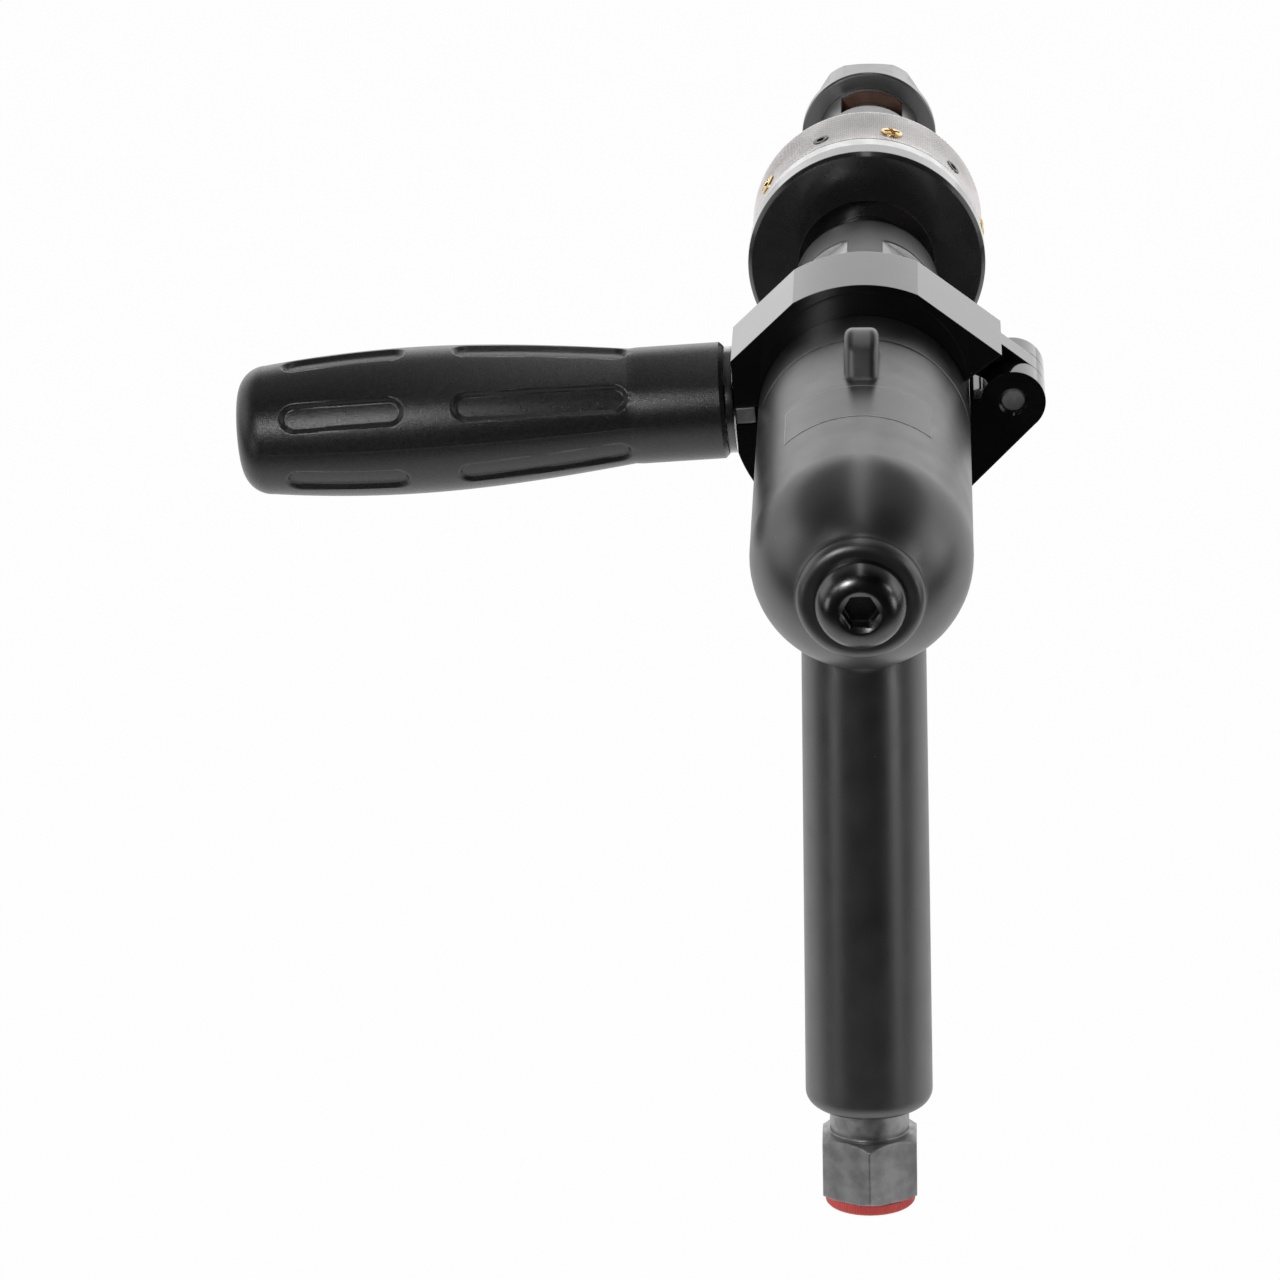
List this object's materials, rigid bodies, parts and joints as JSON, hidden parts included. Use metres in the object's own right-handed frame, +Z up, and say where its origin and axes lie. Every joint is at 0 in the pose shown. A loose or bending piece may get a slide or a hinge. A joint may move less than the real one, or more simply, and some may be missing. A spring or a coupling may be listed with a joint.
{
  "type": "pneumatic tapping tool",
  "caption": "Pistol-grip air tapping tool with a geared motor, torque-limiting tapping chuck, clamp-on side handle and hexagonal air inlet with a dust cap.",
  "frame": {"origin": "on the spindle axis, at the mouth of the tap collet", "axes": "+Y forwards along the barrel and out of the chuck, +Z up, the side handle towards -X"},
  "size_m": [0.1964, 0.339, 0.204],
  "materials": {
    "housing_paint": "satin black paint on cast aluminium",
    "black_oxide": "polished black oxide on steel",
    "clamp_paint": "gloss black enamel on cast aluminium",
    "dark_steel": "dark worn steel",
    "steel": "ground steel",
    "handle_plastic": "fine-grained black moulding",
    "silver_plate": "nickel-plated steel, knurled",
    "brass": "machined brass",
    "rubber": "dark brown rubber",
    "red_plastic": "red moulding",
    "trigger_plastic": "black moulding",
    "vane_resin": "fibre-filled resin",
    "friction_lining": "friction lining",
    "grey_iron": "ground iron"
  },
  "bodies": {
    "housing": {"motor_housing": "housing_paint", "rear_plug_screw": "black_oxide", "front_housing": "housing_paint", "ring_gear": "steel", "motor_cylinder": "grey_iron", "rear_end_plate": "grey_iron", "front_end_plate": "grey_iron", "rear_rotor_bearing": "steel", "front_rotor_bearing": "steel", "rear_spindle_bearing": "steel", "front_spindle_bearing": "steel", "shaft_seal": "rubber", "forward_valve_guide": "brass", "reverse_valve_guide": "brass", "forward_valve_spring": "steel", "reverse_valve_spring": "steel", "inlet_bushing": "dark_steel", "inlet_strainer": "brass"},
    "spindle": {"output_spindle": "steel", "second_planet_pins": "steel", "spindle_spacer": "steel", "retaining_ring": "steel", "clutch_body": "black_oxide", "rear_friction_disc": "friction_lining", "front_friction_disc": "friction_lining", "pressure_plate": "steel", "clutch_spring_washers": "steel"},
    "torque_ring": {"torque_ring": "silver_plate", "brass_set_screws": "brass", "dark_set_screws": "dark_steel"},
    "tap_holder": {"collet_holder": "black_oxide", "tap_jaws": "steel", "rubber_collet": "rubber"},
    "collet_nut": {"collet_nut": "black_oxide"},
    "first_carrier": {"first_carrier": "steel", "first_planet_pins": "steel"},
    "rotor": {"rotor": "steel", "vanes": "vane_resin"},
    "forward_trigger": {"forward_trigger": "trigger_plastic", "forward_valve_stem": "steel"},
    "reverse_trigger": {"reverse_trigger": "trigger_plastic", "reverse_valve_stem": "steel"},
    "clamp": {"clamp_upper_jaw": "clamp_paint", "clamp_hinge_pin": "dark_steel", "clamp_stud": "dark_steel", "clamp_cup": "dark_steel"},
    "clamp_lower_jaw": {"clamp_lower_jaw": "clamp_paint"},
    "side_handle": {"side_handle_grip": "handle_plastic", "side_handle_insert": "steel"},
    "dust_cap": {"dust_cap": "red_plastic"},
    "first_planet_1": {"first_planet_1": "steel"},
    "first_planet_2": {"first_planet_2": "steel"},
    "first_planet_3": {"first_planet_3": "steel"},
    "second_planet_1": {"second_planet_1": "steel"},
    "second_planet_2": {"second_planet_2": "steel"},
    "second_planet_3": {"second_planet_3": "steel"}
  },
  "joints": [
    {"name": "chuck_spin", "type": "hinge", "parent": "housing", "child": "spindle", "pos_m": [0, 0, 0], "axis": [0, 1, 0], "continuous": true},
    {"name": "first_carrier_spin", "type": "hinge", "parent": "housing", "child": "first_carrier", "pos_m": [0, 0, 0], "axis": [0, 1, 0], "continuous": true},
    {"name": "rotor_spin", "type": "hinge", "parent": "housing", "child": "rotor", "pos_m": [0, 0, 0], "axis": [0, 1, 0], "continuous": true},
    {"name": "first_planet_1_spin", "type": "hinge", "parent": "first_carrier", "child": "first_planet_1", "pos_m": [0.01215, -0.223, 0], "axis": [0, 1, 0], "continuous": true},
    {"name": "first_planet_2_spin", "type": "hinge", "parent": "first_carrier", "child": "first_planet_2", "pos_m": [-0.00607, -0.223, -0.01052], "axis": [0, 1, 0], "continuous": true},
    {"name": "first_planet_3_spin", "type": "hinge", "parent": "first_carrier", "child": "first_planet_3", "pos_m": [-0.00607, -0.223, 0.01052], "axis": [0, 1, 0], "continuous": true},
    {"name": "second_planet_1_spin", "type": "hinge", "parent": "spindle", "child": "second_planet_1", "pos_m": [0.01215, -0.223, 0], "axis": [0, 1, 0], "continuous": true},
    {"name": "second_planet_2_spin", "type": "hinge", "parent": "spindle", "child": "second_planet_2", "pos_m": [-0.00607, -0.223, -0.01052], "axis": [0, 1, 0], "continuous": true},
    {"name": "second_planet_3_spin", "type": "hinge", "parent": "spindle", "child": "second_planet_3", "pos_m": [-0.00607, -0.223, 0.01052], "axis": [0, 1, 0], "continuous": true},
    {"name": "clutch_slip", "type": "hinge", "parent": "spindle", "child": "tap_holder", "pos_m": [0, 0, 0], "axis": [0, 1, 0], "continuous": true},
    {"name": "torque_ring_turn", "type": "hinge", "parent": "spindle", "child": "torque_ring", "pos_m": [0, 0, 0], "axis": [0, 1, 0], "range_deg": [-180, 180]},
    {"name": "collet_nut_turn", "type": "hinge", "parent": "tap_holder", "child": "collet_nut", "pos_m": [0, 0, 0], "axis": [0, 1, 0], "range_deg": [0, 360]},
    {"name": "clamp_swivel", "type": "hinge", "parent": "housing", "child": "clamp", "pos_m": [0, 0, 0], "axis": [0, 1, 0], "continuous": true},
    {"name": "clamp_jaw_open", "type": "hinge", "parent": "clamp", "child": "clamp_lower_jaw", "pos_m": [0.0359, -0.211, 0.00273], "axis": [0, -1, 0], "range_deg": [0, 1.5]},
    {"name": "side_handle_turn", "type": "hinge", "parent": "clamp", "child": "side_handle", "pos_m": [-0.05999, -0.211, -0.00201], "axis": [-0.9982, 0, -0.0593], "range_deg": [0, 360]},
    {"name": "dust_cap_pull", "type": "slide", "parent": "housing", "child": "dust_cap", "axis": [0, -0.1305, -0.9914], "range_m": [0, 0.03]},
    {"name": "forward_trigger_press", "type": "slide", "parent": "housing", "child": "forward_trigger", "axis": [0, -0.9914, 0.1305], "range_m": [0, 0.004], "stiffness_N_per_m": 2500, "springref_m": -0.002, "deforming": ["forward_valve_spring"]},
    {"name": "reverse_trigger_press", "type": "slide", "parent": "housing", "child": "reverse_trigger", "axis": [0, -0.9914, 0.1305], "range_m": [0, 0.004], "stiffness_N_per_m": 2500, "springref_m": -0.002, "deforming": ["reverse_valve_spring"]}
  ],
  "couplings": [
    {"joint": "first_carrier_spin", "follows": "chuck_spin", "ratio": 4.5},
    {"joint": "rotor_spin", "follows": "chuck_spin", "ratio": 20.25},
    {"joint": "first_planet_1_spin", "follows": "chuck_spin", "ratio": -12.6},
    {"joint": "first_planet_2_spin", "follows": "chuck_spin", "ratio": -12.6},
    {"joint": "first_planet_3_spin", "follows": "chuck_spin", "ratio": -12.6},
    {"joint": "second_planet_1_spin", "follows": "chuck_spin", "ratio": -2.8},
    {"joint": "second_planet_2_spin", "follows": "chuck_spin", "ratio": -2.8},
    {"joint": "second_planet_3_spin", "follows": "chuck_spin", "ratio": -2.8}
  ]
}
